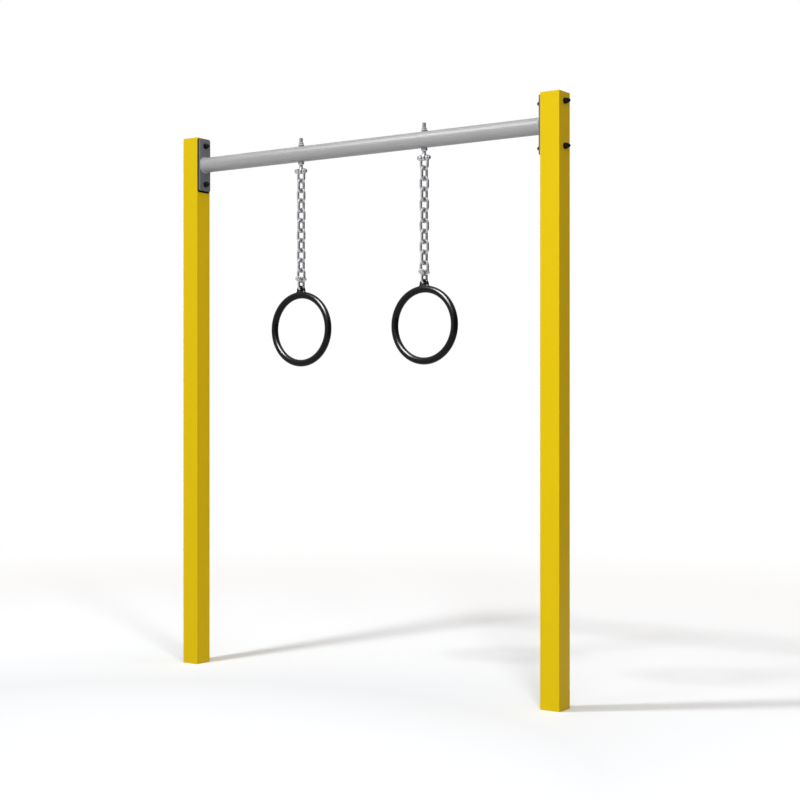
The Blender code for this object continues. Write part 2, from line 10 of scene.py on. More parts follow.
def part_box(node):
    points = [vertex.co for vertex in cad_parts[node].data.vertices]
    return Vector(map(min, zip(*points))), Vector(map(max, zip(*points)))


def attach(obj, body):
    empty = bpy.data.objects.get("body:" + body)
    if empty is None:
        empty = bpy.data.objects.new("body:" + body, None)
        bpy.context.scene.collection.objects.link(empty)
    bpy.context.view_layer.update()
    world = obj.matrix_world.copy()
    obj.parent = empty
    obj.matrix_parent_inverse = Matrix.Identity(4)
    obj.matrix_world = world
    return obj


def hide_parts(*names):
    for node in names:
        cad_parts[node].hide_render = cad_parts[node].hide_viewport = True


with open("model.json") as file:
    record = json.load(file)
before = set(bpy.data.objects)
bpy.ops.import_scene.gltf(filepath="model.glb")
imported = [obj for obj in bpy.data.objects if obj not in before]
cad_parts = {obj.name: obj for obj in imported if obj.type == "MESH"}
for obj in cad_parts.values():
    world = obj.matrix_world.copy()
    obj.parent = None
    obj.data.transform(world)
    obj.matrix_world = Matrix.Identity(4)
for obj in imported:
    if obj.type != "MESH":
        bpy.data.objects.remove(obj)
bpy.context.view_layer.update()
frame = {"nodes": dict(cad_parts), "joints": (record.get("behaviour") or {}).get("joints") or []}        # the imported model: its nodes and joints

for startupName in ("Cube", "Light", "Camera"):
    startupObject = bpy.data.objects.get(startupName)
    if startupObject:
        bpy.data.objects.remove(startupObject, do_unlink=True)

sides = {"left": -1, "right": 1}
levels = ("upper", "lower")
pivots = {joint["child"]: Vector(joint["pos_m"]) for joint in frame["joints"]}
upright = (0, 0, 0)
layDown = (0, math.pi / 2, 0)  # turns the Z axis onto the X axis


def nodeMiddle(node):
    low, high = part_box(node)
    return (low + high) / 2


def nodeSpan(node):
    low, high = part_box(node)
    return high - low


def addObject(name, data, place=(0, 0, 0), turn=upright):
    obj = bpy.data.objects.new(name, data)
    obj.location = place
    obj.rotation_euler = turn
    bpy.context.scene.collection.objects.link(obj)
    return obj


# Camera, at the photograph's standpoint

cameraValues = {
    "place": (3.636, -4.922, 1.128), "turnDegrees": 35.0, "lens": 69.2,
    "sensor": 36.0,
}


def addCamera(values):
    data = bpy.data.cameras.new("frontCamera")
    data.lens = values["lens"]
    data.sensor_width = values["sensor"]
    turn = (math.pi / 2, 0, math.radians(values["turnDegrees"]))
    bpy.context.scene.camera = addObject("frontCamera", data, values["place"], turn)


addCamera(cameraValues)
print("camera placed")


# Nodes and materials

def setInputs(tree, node, inputs):
    # inputs: a socket's name or number, and its plain value or the output that feeds it.
    for socket, source in inputs.items():
        if isinstance(source, bpy.types.NodeSocket):
            tree.links.new(source, node.inputs[socket])
        else:
            node.inputs[socket].default_value = source


def addNode(tree, kind, inputs=None, **settings):
    node = tree.nodes.new("ShaderNode" + kind)
    for name, value in settings.items():
        setattr(node, name, value)
    setInputs(tree, node, inputs or {})
    return node


def inUse(sockets):
    # The sockets that the node's settings leave in use.
    return [socket for socket in sockets if socket.enabled]


def maths(tree, operation, *sources, kind="Math"):
    node = addNode(tree, kind, dict(enumerate(sources)), operation=operation)
    return inUse(node.outputs)[0]


def newGroup(name, inputs, build):
    # inputs: each one's first value. build: makes the nodes and gives back the outputs by name.
    kinds = {"Vector": "NodeSocketVector", "Colour": "NodeSocketColor"}
    group = bpy.data.node_groups.new(name, "ShaderNodeTree")
    for label, value in inputs.items():
        kind = kinds.get(label, "NodeSocketFloat")
        socket = group.interface.new_socket(name=label, in_out="INPUT", socket_type=kind)
        if value is not None:
            socket.default_value = value
    results = build(group, group.nodes.new("NodeGroupInput").outputs)
    for label in results:
        kind = kinds.get(label, "NodeSocketFloat")
        group.interface.new_socket(name=label, in_out="OUTPUT", socket_type=kind)
    setInputs(group, group.nodes.new("NodeGroupOutput"), results)
    return group


def scaledNoise(tree, vector, size, detail, spread=0.5):
    # Noise whose features are about size metres across.
    return addNode(tree, "TexNoise", {
        "Vector": vector, "Scale": maths(tree, "DIVIDE", 1.0, size),
        "Detail": detail, "Roughness": spread,
    }).outputs["Fac"]


def around(tree, value, middle, amount):
    # middle + amount * (value - 0.5)
    return maths(tree, "MULTIPLY_ADD", maths(tree, "SUBTRACT", value, 0.5), amount, middle)


def tinted(tree, colour, factor):
    # The colour, made lighter or darker by the factor.
    inputs = {0: colour, "Scale": factor}
    return addNode(tree, "VectorMath", inputs, operation="SCALE").outputs[0]


def sprayedNodes(group, source):
    # Powder coat: the orange peel of the cured film, and slow changes of tone.
    cloud = scaledNoise(group, source["Vector"], source["Tone Size"], detail=3.0)
    tone = around(group, cloud, 1.0, source["Tone Change"])
    return {
        "Colour": tinted(group, source["Colour"], tone),
        "Roughness": around(group, cloud, source["Roughness"], amount=0.03),
        "Height": scaledNoise(group, source["Vector"], source["Peel Size"], detail=2.0),
    }


def zincNodes(group, source):
    # Zinc on steel: faint crystals of unlike brightness, over a fine tooth.
    place = source["Vector"]
    crystals = addNode(group, "TexVoronoi", {
        "Vector": place, "Scale": maths(group, "DIVIDE", 1.0, source["Crystal Size"]),
    })
    parts = addNode(group, "SeparateColor", {0: crystals.outputs["Color"]})
    stains = scaledNoise(group, place, source["Crystal Size"], detail=3.0)
    blend = addNode(group, "Mix", {"Factor": 0.55, "A": parts.outputs[0], "B": stains})
    spots = blend.outputs["Result"]
    tone = around(group, spots, 1.0, source["Contrast"])
    return {
        "Colour": tinted(group, source["Colour"], tone),
        "Roughness": around(group, spots, source["Roughness"], amount=0.16),
        "Height": scaledNoise(group, place, source["Tooth Size"], detail=3.0, spread=0.6),
    }


def rubbedNodes(group, source):
    # Where pieces rub: the mesh says how much, and noise breaks the patch up.
    patches = scaledNoise(group, source["Vector"], source["Patch Size"], detail=4.0, spread=0.65)
    mask = addNode(group, "MapRange", {
        "Value": around(group, patches, source["Rub"], amount=0.9),
        "From Min": 0.42, "From Max": 0.72,
    }, interpolation_type="SMOOTHSTEP")
    return {"Mask": mask.outputs[0]}


def mouldedNodes(group, source):
    # Moulded plastic: a fine grain, and patches that hands and weather have dulled.
    wide = maths(group, "MULTIPLY", source["Grain Size"], 30.0)
    dull = scaledNoise(group, source["Vector"], wide, detail=4.0, spread=0.6)
    return {
        "Colour": tinted(group, source["Colour"], around(group, dull, 1.0, amount=0.5)),
        "Roughness": around(group, dull, source["Roughness"], source["Dulling"]),
        "Height": scaledNoise(group, source["Vector"], source["Grain Size"], detail=2.0),
    }


sprayedCoat = newGroup("sprayedCoat", {
    "Vector": None, "Colour": (0.8, 0.8, 0.8, 1), "Roughness": 0.4,
    "Peel Size": 0.0016, "Tone Size": 0.4, "Tone Change": 0.06,
}, sprayedNodes)
zincFinish = newGroup("zincFinish", {
    "Vector": None, "Colour": (0.6, 0.6, 0.6, 1), "Roughness": 0.3,
    "Crystal Size": 0.003, "Contrast": 0.2, "Tooth Size": 0.0006,
}, zincNodes)
rubbed = newGroup("rubbed", {"Vector": None, "Rub": 0.0, "Patch Size": 0.004}, rubbedNodes)
mouldedGrain = newGroup("mouldedGrain", {
    "Vector": None, "Colour": (0.01, 0.01, 0.01, 1), "Roughness": 0.2,
    "Grain Size": 0.0008, "Dulling": 0.1,
}, mouldedNodes)

steelRubValues = {"patchSize": 0.003, "colour": (0.66, 0.66, 0.66, 1), "roughness": 0.2}
gripRubValues = {"patchSize": 0.006, "colour": (0.010, 0.010, 0.011, 1), "roughness": 0.42}


def newMaterial(name, group, values):
    # A Principled shader fed by one finish group. Values that the group doesn't take are its own.
    # Relief is how high the group's texture stands, in metres.
    material = bpy.data.materials.new(name)
    material.use_nodes = True
    tree = material.node_tree
    shader = tree.nodes["Principled BSDF"]
    place = addNode(tree, "TexCoord").outputs["Object"]
    finish = addNode(tree, "Group", node_tree=group)
    relief = addNode(tree, "Bump", {"Height": finish.outputs["Height"]})
    for label, value in values.items():
        if label == "Relief":
            relief.inputs["Distance"].default_value = value
        else:
            owner = finish if label in finish.inputs else shader
            owner.inputs[label].default_value = value
    setInputs(tree, finish, {"Vector": place})
    setInputs(tree, shader, {
        "Base Color": finish.outputs["Colour"], "Roughness": finish.outputs["Roughness"],
        "Normal": relief.outputs["Normal"],
    })
    return material


def addRubbing(material, values):
    # Lays a polished or dulled patch over the finish where the mesh's rub value is high.
    tree = material.node_tree
    shader = tree.nodes["Principled BSDF"]
    amount = addNode(tree, "Attribute", attribute_name="rub").outputs["Fac"]
    place = addNode(tree, "TexCoord").outputs["Object"]
    worn = addNode(tree, "Group", node_tree=rubbed)
    inputs = {"Vector": place, "Rub": amount, "Patch Size": values["patchSize"]}
    setInputs(tree, worn, inputs)
    for label, kind in (("Base Color", "RGBA"), ("Roughness", "FLOAT")):
        blend = addNode(tree, "Mix", {"Factor": worn.outputs["Mask"]}, data_type=kind)
        first, second = inUse(blend.inputs)[1:3]
        second.default_value = values["colour" if kind == "RGBA" else "roughness"]
        tree.links.new(shader.inputs[label].links[0].from_socket, first)
        tree.links.new(inUse(blend.outputs)[0], shader.inputs[label])


yellowCoat = newMaterial("yellowPowderCoat", sprayedCoat, {
    "Colour": (0.80, 0.572, 0.004, 1), "Roughness": 0.38, "Tone Change": 0.05,
    "Specular IOR Level": 0.12, "Relief": 0.00004,
})
greyCoat = newMaterial("greyPowderCoat", sprayedCoat, {
    "Colour": (0.355, 0.355, 0.365, 1), "Roughness": 0.40, "Tone Change": 0.05,
    "Tone Size": 0.25, "Specular IOR Level": 0.75, "Relief": 0.000012,
})
# The end plates' paint is the crossbar's grey made darker and bluer, which is painted shade on the
# plates' shaded faces.
shadedPlateCoat = newMaterial("greyPlateCoatShaded", sprayedCoat, {
    "Colour": (0.150, 0.170, 0.196, 1), "Roughness": 0.45, "Tone Change": 0.06,
    "Tone Size": 0.10, "Specular IOR Level": 0.2, "Relief": 0.00004,
})
capPlastic = newMaterial("blackCapPlastic", mouldedGrain, {
    "Colour": (0.003, 0.003, 0.0035, 1), "Roughness": 0.25, "Dulling": 0.10,
    "Grain Size": 0.0006, "Specular IOR Level": 0.12, "Relief": 0.00002,
})
# Near-black rubber for the bead round each end plate: painted shade where the plate shades the
# post.
shadeBeadRubber = newMaterial("paintedShadeBead", mouldedGrain, {
    "Colour": (0.004, 0.004, 0.003, 1), "Roughness": 0.6, "Dulling": 0.1,
    "Grain Size": 0.0009, "Specular IOR Level": 0.05, "Relief": 0.00002,
})
gripPlastic = newMaterial("blackGripPlastic", mouldedGrain, {
    "Colour": (0.003, 0.003, 0.0035, 1), "Roughness": 0.24, "Dulling": 0.08,
    "Grain Size": 0.0009, "Specular IOR Level": 0.15, "Relief": 0.000004,
})
platedSteel = newMaterial("zincPlatedSteel", zincFinish, {
    "Colour": (0.51, 0.52, 0.54, 1), "Roughness": 0.27, "Contrast": 0.22,
    "Crystal Size": 0.0022, "Metallic": 1.0, "Relief": 0.00002,
})
chainSteel = newMaterial("galvanisedChain", zincFinish, {
    "Colour": (0.485, 0.495, 0.515, 1), "Roughness": 0.33, "Contrast": 0.34,
    "Crystal Size": 0.0035, "Metallic": 1.0, "Relief": 0.00004,
})
addRubbing(platedSteel, steelRubValues)
addRubbing(chainSteel, steelRubValues)
addRubbing(gripPlastic, gripRubValues)
print("materials made")


# Mesh tools

def gridMesh(name, points, loop=False):
    # Quads between rows of points. A row closes on itself. loop joins the last row to the first,
    # and without it the two end rows are closed by flat caps.
    rows, columns = points.shape[:2]
    index = np.arange(rows * columns).reshape(rows, columns)
    ends = [index[0][::-1].tolist(), index[-1].tolist()]
    if loop:
        index = np.vstack([index, index[:1]])
    here, there = index[:-1], index[1:]
    corners = [here, np.roll(here, -1, 1), np.roll(there, -1, 1), there]
    faces = np.stack(corners, -1).reshape(-1, 4).tolist()
    if not loop:
        faces += ends
    mesh = bpy.data.meshes.new(name)
    mesh.from_pydata(points.reshape(-1, 3).tolist(), [], faces)
    shape = bmesh.new()
    shape.from_mesh(mesh)
    bmesh.ops.remove_doubles(shape, verts=shape.verts, dist=0.000001)
    bmesh.ops.recalc_face_normals(shape, faces=shape.faces)
    shape.to_mesh(mesh)
    shape.free()
    return mesh


def spokeAngles(count):
    return np.linspace(0, 2 * math.pi, count, endpoint=False)


def circle(radius, angles, height):
    # A row of points round the Z axis. radius: one for all angles, or one for each.
    return np.stack(
        [radius * np.cos(angles), radius * np.sin(angles), np.full_like(angles, height)], -1,
    )


def turnedPoints(profile, spokes):
    # Rows of points round the Z axis from (radius, height) points.
    return np.array([circle(radius, spokeAngles(spokes), height) for radius, height in profile])


def roundedPath(corners, steps=6):
    # Points of an outline from corners of (across, along, radius), each corner rounded off.
    points = []
    for number, (across, along, radius) in enumerate(corners):
        here = Vector((across, along))
        if radius == 0 or number in (0, len(corners) - 1):
            points.append(here)
            continue
        before = (Vector(corners[number - 1][:2]) - here).normalized()
        after = (Vector(corners[number + 1][:2]) - here).normalized()
        half = before.angle(after) / 2
        centre = here + (before + after).normalized() * (radius / math.sin(half))
        first = here + before * (radius / math.tan(half)) - centre
        last = here + after * (radius / math.tan(half)) - centre
        turn = first.angle_signed(last)
        for step in range(steps + 1):
            points.append(centre + Matrix.Rotation(-turn * step / steps, 2) @ first)
    return points


def skinPoints(centres, across, along, angles, shape, reach, halvings=24):
    # From each centre, walks out along every spoke to where the shape ends.
    # shape: from x, y and z, a value under zero inside the shape and over zero outside it.
    spokes = np.cos(angles)[None, :, None] * across[:, None]
    spokes = spokes + np.sin(angles)[None, :, None] * along[:, None]
    near = np.zeros((len(centres), len(angles)))
    far = np.full_like(near, reach)
    for halving in range(halvings):
        middle = (near + far) / 2
        points = centres[:, None] + spokes * middle[..., None]
        outside = shape(*np.moveaxis(points, -1, 0)) > 0
        far = np.where(outside, middle, far)
        near = np.where(outside, near, middle)
    return centres[:, None] + spokes * far[..., None]


def blended(first, second, width):
    # Union of two shape values, with a fillet of about that width where they meet.
    near = np.maximum(width - np.abs(first - second), 0) / width
    return np.minimum(first, second) - near * near * width / 4


def roundedSlab(across, along, radius):
    # Shape value of a flat form with rounded edges, from its outline's value and its face's value.
    outline, face = across + radius, along + radius
    outside = np.hypot(np.maximum(outline, 0), np.maximum(face, 0))
    return np.minimum(np.maximum(outline, face), 0) + outside - radius


def evaluatedMesh(obj, name):
    # The object's mesh with its modifiers applied.
    bpy.context.view_layer.update()
    graph = bpy.context.evaluated_depsgraph_get()
    mesh = bpy.data.meshes.new_from_object(
        obj.evaluated_get(graph), preserve_all_data_layers=True, depsgraph=graph,
    )
    bpy.data.objects.remove(obj, do_unlink=True)
    mesh.name = name
    return mesh


def cutMesh(mesh, *cutters):
    # Takes the cutters' meshes away from the mesh. Each cutter: mesh, place, turn.
    obj = addObject(mesh.name, mesh)
    tools = [addObject(cutter.name, cutter, place, turn) for cutter, place, turn in cutters]
    for tool in tools:
        cut = obj.modifiers.new("cut", "BOOLEAN")
        cut.operation = "DIFFERENCE"
        cut.solver = "EXACT"
        cut.object = tool
    result = evaluatedMesh(obj, mesh.name)
    for tool in tools:
        bpy.data.objects.remove(tool, do_unlink=True)
    return result


def finishMesh(mesh, material, crisp=38):
    # Smooth shading, and normals that leave flat faces flat. crisp: the least angle of a crisp
    # edge, in degrees.
    mesh.materials.clear()
    mesh.materials.append(material)
    mesh.shade_smooth()
    mesh.set_sharp_from_angle(angle=math.radians(crisp))
    obj = addObject(mesh.name, mesh)
    obj.modifiers.new("weights", "WEIGHTED_NORMAL").keep_sharp = True
    return evaluatedMesh(obj, mesh.name)


def joinMeshes(name, *meshes):
    # Several closed shells in one mesh.
    shape = bmesh.new()
    for mesh in meshes:
        shape.from_mesh(mesh)
    whole = bpy.data.meshes.new(name)
    shape.to_mesh(whole)
    shape.free()
    return whole


def setRub(mesh, amount):
    # How much each point rubs on another piece, from 0 to 1, from its x, y and z.
    points = np.zeros(len(mesh.vertices) * 3)
    mesh.vertices.foreach_get("co", points)
    layer = mesh.attributes.new("rub", "FLOAT", "POINT")
    layer.data.foreach_set("value", np.clip(amount(*points.reshape(-1, 3).T), 0, 1))
    return mesh


def addPiece(name, mesh, place, slotName, *nodes, body="frame", turn=upright):
    piece = addObject(name, mesh, place, turn)
    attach(piece, body)
    if nodes:
        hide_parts(*nodes)


def holeCutter(radius, length, spokes=48):
    return gridMesh("hole", turnedPoints([(radius, -length / 2), (radius, length / 2)], spokes))


def flaredCutter(radius, flare, half, past, steps, spokes=64):
    # Cuts a hole whose ends open out. half: half its length. past: how far it goes on beyond.
    profile = [(radius + flare, -half - past)]
    for step in range(steps + 1):
        angle = math.pi / 2 * step / steps
        inwards, upwards = 1 - math.sin(angle), 1 - math.cos(angle)
        profile.append((radius + flare * inwards, -half + flare * upwards))
    profile += [(across, -z) for across, z in reversed(profile)]
    return gridMesh("hole", turnedPoints(profile, spokes))


def roundedRectangle(width, height, corner, steps):
    # Points round a rectangle with round corners, evenly many for each corner.
    points = []
    for quarter, (sideX, sideY) in enumerate(((1, 1), (-1, 1), (-1, -1), (1, -1))):
        for step in range(steps + 1):
            angle = math.pi / 2 * (quarter + step / steps)
            x = sideX * (width / 2 - corner) + corner * math.cos(angle)
            y = sideY * (height / 2 - corner) + corner * math.sin(angle)
            points.append((x, y))
    return points


def slabRows(width, height, corner, levelsAndInsets, steps=8):
    # Rows for a slab: at each (z, inset) the outline is drawn in by the inset.
    rows = []
    for z, inset in levelsAndInsets:
        outline = roundedRectangle(width - 2 * inset, height - 2 * inset, corner - inset, steps)
        rows.append([(x, y, z) for x, y in outline])
    return np.array(rows)


def roundOver(z, radius, upward, steps=5):
    # (z, inset) pairs that round an edge off. upward ends at the top face.
    pairs = []
    for step in range(steps + 1):
        angle = math.pi / 2 * step / steps
        pairs.append((radius * (1 - math.sin(angle)), radius * (1 - math.cos(angle))))
    if upward:
        return [(z - drop, inset) for drop, inset in pairs]
    return [(z + drop, inset) for drop, inset in reversed(pairs)]


# Posts, with the plates that close them

postValues = {
    "wall": 0.003, "corner": 0.0015, "insideCorner": 0.001, "cutEdge": 0.0004,
    "capEdge": 0.0008,
}
boltHole = 0.011


def boltHoles(side, origin):
    # Cutters for a side's two bolts, in a piece with that origin.
    holes = []
    for level in levels:
        cutter = holeCutter(boltHole / 2, length=0.3)
        bolt = nodeMiddle(f"{side}_{level}_plate_bolt") - origin
        holes.append((cutter, (bolt.x, 0, bolt.z), layDown))
    return holes


def makePosts(values):
    for side in sides:
        node, cap = f"{side}_post", f"{side}_post_top_plate"
        span, middle = nodeSpan(node), nodeMiddle(node)
        capLow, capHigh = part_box(cap)
        edge = values["cutEdge"]
        outside = roundOver(0, edge, False) + [(capLow.z, 0)]
        inside = [(capLow.z, 0), (edge, 0), (0, -edge)]
        room = span - Vector((2, 2, 0)) * values["wall"]
        tube = gridMesh(f"{side}PostTube", np.vstack([
            slabRows(span.x, span.y, values["corner"], outside),
            slabRows(room.x, room.y, values["insideCorner"], inside),
        ]), loop=True)
        place = Vector((middle.x, 0, 0))
        tube = finishMesh(cutMesh(tube, *boltHoles(side, place)), yellowCoat)
        addPiece(f"{side}PostTube", tube, place, "post_paint", node)
        plateRows = [(0, 0)] + roundOver(capHigh.z - capLow.z, values["capEdge"], True)
        plate = slabRows(span.x, span.y, values["corner"], plateRows)
        plate = finishMesh(gridMesh(f"{side}PostTopPlate", plate), yellowCoat)
        place.z = capLow.z
        addPiece(f"{side}PostTopPlate", plate, place, "post_paint", cap)


makePosts(postValues)
print("posts made")


# End plates

# The bead values shape a dark bead round each plate, which is painted shade on the post's face.
plateValues = {
    "corner": 0.006, "edge": 0.0012, "shadeBeadWidth": 0.0055, "shadeBeadHeight": 0.0014,
    "shadeBeadTuck": 0.0022, "shadeBeadDrop": 0.0020, "shadeBeadLift": 0.0002,
}


def shadeBeadMesh(values, span, sign):
    # A thin dark bead round the plate, on the post's face. It is painted shade: a dark strip
    # standing for the shade the plate casts on the post.
    base = span.x / 2 + values["shadeBeadLift"]
    width, tuck = values["shadeBeadWidth"], values["shadeBeadTuck"]
    crown = base - values["shadeBeadHeight"]
    outer = (span.z + 2 * width, span.y + 2 * width)
    rows = slabRows(*outer, values["corner"] + width, [
        (-base, width + tuck), (-base, 0), (-(base + crown) / 2, width / 8),
        (-crown, width / 3), (-crown, width + tuck),
    ])
    shadeBead = gridMesh("plateShadeBead", rows, loop=True)
    shadeBead.transform(Matrix.Rotation(-sign * math.pi / 2, 4, "Y"))
    return finishMesh(shadeBead, shadeBeadRubber)


def makeEndPlates(values):
    for side, sign in sides.items():
        node = f"{side}_end_plate"
        span, middle = nodeSpan(node), nodeMiddle(node)
        half = span.x / 2
        rows = roundOver(-half, values["edge"], False) + roundOver(half, values["edge"], True)
        plate = gridMesh(f"{side}EndPlate", slabRows(span.z, span.y, values["corner"], rows))
        plate.transform(Matrix.Rotation(math.pi / 2, 4, "Y"))
        # The plates get the darker, bluer copy of the crossbar's paint: painted shade.
        plate = finishMesh(cutMesh(plate, *boltHoles(side, middle)), shadedPlateCoat)
        addPiece(f"{side}EndPlate", plate, middle, "bar_paint", node)
        # The dark bead round each plate is painted shade where the plate shades the post.
        lower = middle - Vector((0, 0, values["shadeBeadDrop"]))
        addPiece(f"{side}PlateShadeBead", shadeBeadMesh(values, span, sign), lower, "dome_plastic")


makeEndPlates(plateValues)


# Crossbar, with a rippled weld bead at each end

barValues = {
    "diameter": 0.0635, "wall": 0.003, "studHole": 0.0170, "spokes": 360,
    "beadLeg": 0.004, "beadSwell": 0.0009, "beadRows": 9,
    "plateMargin": 0.0001,  # how far the bead stays inside the plate's edge
    "leastCosine": 0.05, "ripples": 60, "rippleHeight": 0.00028, "rippleBow": 0.9,
}


def barRow(radius, angles, x):
    # A row of points round the X axis.
    return np.roll(circle(radius, angles, x), 1, -1)


def beadRows(values, half, room):
    # Rows of the bead at the +X end, from the plate inwards. room: half the plate's width.
    radius, leg = values["diameter"] / 2, values["beadLeg"]
    angles = spokeAngles(values["spokes"])
    limit = room / np.maximum(np.abs(np.cos(angles)), values["leastCosine"]) - radius
    height = np.minimum(leg, limit - values["plateMargin"])
    rows = []
    for share in np.linspace(0, 1, values["beadRows"]):
        arch = math.sin(math.pi * share)
        rise = height * (1 - share) + values["beadSwell"] * arch * height / leg
        bow = values["rippleBow"] * (2 * share - 1) ** 2
        wave = (angles * values["ripples"] / (2 * math.pi) + bow) % 1
        ripple = values["rippleHeight"] * np.sin(math.pi * wave) * arch
        outward = radius + rise + ripple * height / leg
        rows.append(barRow(outward, angles, half - leg * share))
    return rows


def makeCrossbar(values):
    node = "crossbar"
    half = nodeSpan(node).x / 2
    right = beadRows(values, half, nodeSpan("left_end_plate").y / 2)
    left = [row * (-1, 1, 1) for row in reversed(right)]
    inner = values["diameter"] / 2 - values["wall"]
    bore = [barRow(inner, spokeAngles(values["spokes"]), x) for x in (-half, half)]
    bar = gridMesh(node, np.array(right + left + bore), loop=True)
    holes = []
    for side in sides:
        cutter = holeCutter(values["studHole"] / 2, length=0.1)
        holes.append((cutter, (pivots[f"{side}_upper_shackle"].x, 0, 0), upright))
    bar = finishMesh(cutMesh(bar, *holes), greyCoat, crisp=50)
    addPiece("crossbarTube", bar, nodeMiddle(node), "bar_paint", node)


makeCrossbar(barValues)
print("crossbar made")


# Domed caps over the bolt heads and nuts

capValues = {
    "radius": 0.0117, "height": 0.024, "rim": 0.0012, "rimStep": 0.0004,
    "rimEdge": 0.0004, "skirt": 0.0060, "pointedness": 1.14, "noseSteps": 24,
    "tip": 0.0004, "wall": 0.0021, "depth": 0.0122,
    "roof": (0.0006, 0.6),  # inner radius, and outer radius as a share of the room inside
    "spokes": 72,
}


def capMesh(values):
    # Rim, skirt and a nose that is an ellipse drawn in a little to a point, hollow from below.
    radius, rim, edge = values["radius"], values["rim"], values["rimEdge"]
    height, skirt, point = values["height"], values["skirt"], values["pointedness"]
    body = radius - values["rimStep"]
    room = body - values["wall"]
    roofStart, roofShare = values["roof"]
    profile = [(roofStart, values["depth"]), (room * roofShare, values["depth"]), (room, skirt)]
    profile += roundedPath(
        [(room, 0, 0), (radius, 0, edge), (radius, rim, edge), (body, rim, 0), (body, skirt, 0)],
        steps=4,
    )
    for step in range(1, values["noseSteps"]):
        angle = math.pi / 2 * step / values["noseSteps"]
        rise = (height - skirt) * math.sin(angle) ** point
        profile.append((body * math.cos(angle) ** point, skirt + rise))
    profile.append((values["tip"], height))
    return finishMesh(gridMesh("cap", turnedPoints(profile, values["spokes"])), capPlastic)


def makeCaps(values):
    mesh = capMesh(values)
    for side, sign in sides.items():
        for level in levels:
            for seat, direction in (("outer", sign), ("inner", -sign)):
                node = f"{side}_{level}_{seat}_dome"
                low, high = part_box(node)
                place = nodeMiddle(node)
                place.x = low.x if direction > 0 else high.x
                name = f"{side}{level.title()}{seat.title()}Cap"
                turn = (0, direction * math.pi / 2, 0)
                addPiece(name, mesh, place, "dome_plastic", node, turn=turn)


makeCaps(capValues)
print("caps made")


# Nuts

nutValues = {
    "acrossFlats": 0.022,
    "plainEnd": (0.95, 0.58),  # the chamfer's inner reach as a share of the flats, and its slope
    "taperedEnd": (0.80, 1.5), "spokes": 96, "bore": 0.0158, "boreEdge": 0.0006,
    "collarRadius": 0.0101, "collarHeight": 0.004, "collarEdge": 0.0016,
    "collarFoot": (0.0006, 0.0005, 0.0003),  # how far out it starts, its rise and its rounding
    "collarMouth": (0.0007, 0.001, 0.0004),  # the same, but from the bore and down
}


def nutRows(values, low, high, lowEnd, highEnd):
    # Rows of a hexagon nut with turned-down corners, from the lower bore edge to the upper one.
    angles = spokeAngles(values["spokes"])
    flat, bore, edge = values["acrossFlats"] / 2, values["bore"] / 2, values["boreEdge"]
    hexagon = flat / np.cos((angles + math.pi / 6) % (math.pi / 3) - math.pi / 6)

    def turnedDown(share, slope, steps=7):
        reach = hexagon.max() - flat * share
        return [
            (np.minimum(hexagon, flat * share + reach * step / steps), reach * slope * step / steps)
            for step in range(steps + 1)
        ]

    rows = [(bore, low + edge), (bore + edge, low)]
    rows += [(radius, low + depth) for radius, depth in turnedDown(*lowEnd)]
    rows += [(radius, high - depth) for radius, depth in reversed(turnedDown(*highEnd))]
    rows += [(bore + edge, high), (bore, high - edge)]
    return np.array([circle(radius, angles, z) for radius, z in rows])


def lockNutMesh(values, height):
    # A hexagon with a round collar on top, which grips the thread.
    bore, collar = values["bore"] / 2, values["collarRadius"]
    hexTop = height - values["collarHeight"]
    rows = nutRows(values, 0, hexTop, values["plainEnd"], values["taperedEnd"])
    footOut, footRise, footRound = values["collarFoot"]
    mouthOut, mouthDepth, mouthRound = values["collarMouth"]
    outline = roundedPath([
        (collar + footOut, hexTop, 0), (collar, hexTop + footRise, footRound),
        (collar, height, values["collarEdge"]), (bore + mouthOut, height, mouthRound),
        (bore, height - mouthDepth, 0),
    ])
    points = np.vstack([rows[:-2], turnedPoints(outline, values["spokes"])])
    return gridMesh("lockNut", points, loop=True)


def lowerNutMesh(values, height):
    rows = nutRows(values, 0, height, values["taperedEnd"], values["plainEnd"])
    return gridMesh("lowerNut", rows, loop=True)


def makeStudNuts(values):
    kinds = (("lock_nut", "LockNut", lockNutMesh), ("lower_nut", "LowerNut", lowerNutMesh))
    for side in sides:
        for kind, name, build in kinds:
            node = f"{side}_eyebolt_{kind}"
            low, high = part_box(node)
            mesh = finishMesh(build(values, high.z - low.z), platedSteel, crisp=30)
            place = (nodeMiddle(node).x, 0, low.z)
            addPiece(side + name, mesh, place, "plated_steel", node)


makeStudNuts(nutValues)


# Threads

threadShape = {"steepness": 1.35, "root": 0.15}


def threadRows(values, heights, radius, start, tip):
    # Rows of a right-hand thread that is cut ever deeper from the start, and chamfered at the tip.
    angles = spokeAngles(values["spokes"])
    rows = []
    for height in heights:
        turn = (height / values["pitch"] - angles / (2 * math.pi)) % 1
        flank = np.abs(turn * 2 - 1) * threadShape["steepness"]
        crest = np.clip(flank - threadShape["root"], 0, 1)
        cut = min(1, abs(height - start) / values["pitch"])
        reach = radius - values["threadDepth"] * (1 - crest) * cut
        chamfered = radius - values["tipChamfer"] + abs(tip - height)
        rows.append(circle(np.minimum(reach, chamfered), angles, height))
    return rows


# Eyebolts

eyeboltValues = {
    "stud": 0.016, "pitch": 0.002, "pitchSteps": 9, "threadDepth": 0.0011,
    "threadStart": 0.0165, "eye": 0.024, "eyeWidth": 0.012, "eyeEdge": 0.0035,
    "neckBlend": 0.006, "hole": 0.011, "holeFlare": 0.0018, "rubWidth": 0.003,
    "tipChamfer": 0.0014,
    "roundStart": 0.1,  # angle from the eye's lowest point
    "roundRows": 22, "shankRows": 26, "hiddenStep": 0.006, "insideNut": 0.001,
    "spokes": 64,
}


